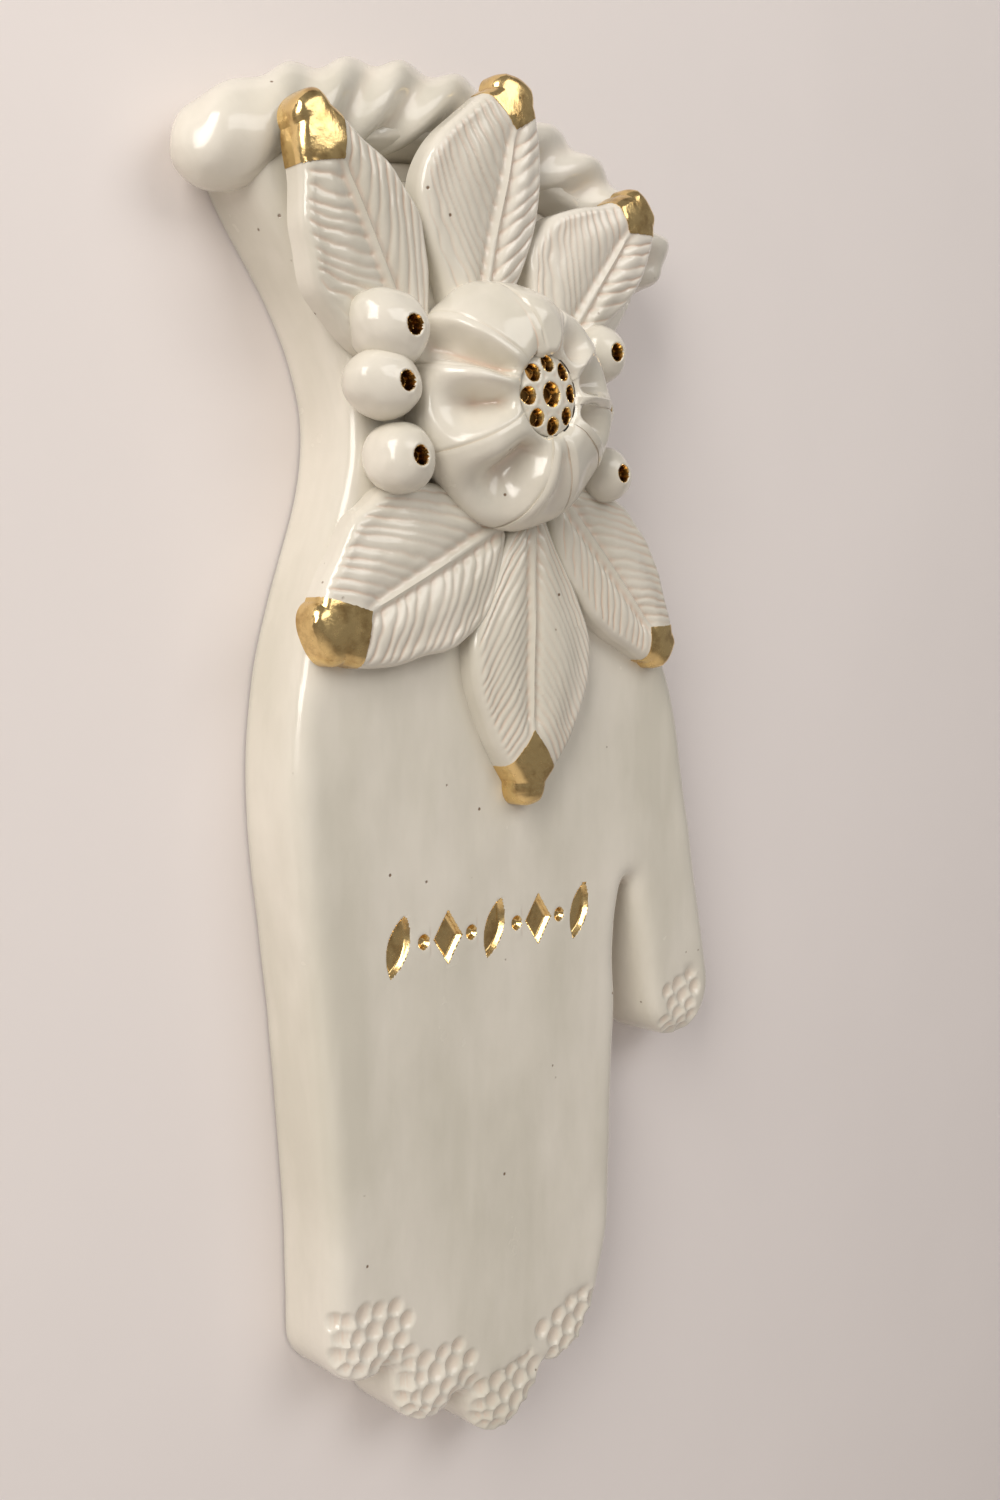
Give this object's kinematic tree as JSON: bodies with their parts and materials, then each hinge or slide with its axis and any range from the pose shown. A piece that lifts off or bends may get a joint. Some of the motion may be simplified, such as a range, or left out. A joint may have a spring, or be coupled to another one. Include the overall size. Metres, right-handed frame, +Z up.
{
  "type": "ceramic wall hand",
  "caption": "Glazed ceramic hand that hangs on a wall, fingers down, with a twisted cuff rim, applied leaves, berries and a flower, and gilded tips and stamps.",
  "frame": {"origin": "centre of the round hanging hole, on the flat back face", "axes": "+Z up along the hand, fingers pointing to -Z; +Y into the wall; +X to the right for someone facing the front"},
  "size_m": [0.1362, 0.0325, 0.2655],
  "materials": {
    "cream_glaze": "glossy",
    "gold_lustre": "polished"
  },
  "bodies": {
    "root": {"back_slab": "cream_glaze", "berry_left_bottom": "cream_glaze", "berry_left_middle": "cream_glaze", "berry_left_top": "cream_glaze", "berry_right_bottom": "cream_glaze", "berry_right_middle": "cream_glaze", "berry_right_top": "cream_glaze", "flower_core": "cream_glaze", "gilt_dots": "gold_lustre", "gilt_leaf_1": "gold_lustre", "gilt_leaf_2": "gold_lustre", "gilt_leaf_3": "gold_lustre", "gilt_lozenge_1": "gold_lustre", "gilt_lozenge_2": "gold_lustre", "hand_shell": "cream_glaze", "leaf_lower_left": "cream_glaze", "leaf_lower_middle": "cream_glaze", "leaf_lower_right": "cream_glaze", "leaf_upper_left": "cream_glaze", "leaf_upper_middle": "cream_glaze", "leaf_upper_right": "cream_glaze", "lustre_berry_left_bottom": "gold_lustre", "lustre_berry_left_middle": "gold_lustre", "lustre_berry_left_top": "gold_lustre", "lustre_berry_right_bottom": "gold_lustre", "lustre_berry_right_middle": "gold_lustre", "lustre_berry_right_top": "gold_lustre", "lustre_lower_left": "gold_lustre", "lustre_lower_middle": "gold_lustre", "lustre_lower_right": "gold_lustre", "lustre_seed_eye": "gold_lustre", "lustre_seed_ring": "gold_lustre", "lustre_upper_left": "gold_lustre", "lustre_upper_middle": "gold_lustre", "lustre_upper_right": "gold_lustre", "petal_01": "cream_glaze", "petal_02": "cream_glaze", "petal_03": "cream_glaze", "petal_04": "cream_glaze", "petal_05": "cream_glaze", "petal_06": "cream_glaze", "petal_07": "cream_glaze", "petal_08": "cream_glaze", "petal_09": "cream_glaze", "petal_10": "cream_glaze", "rim_rope": "cream_glaze", "seed_disc": "cream_glaze"}
  },
  "joints": []
}
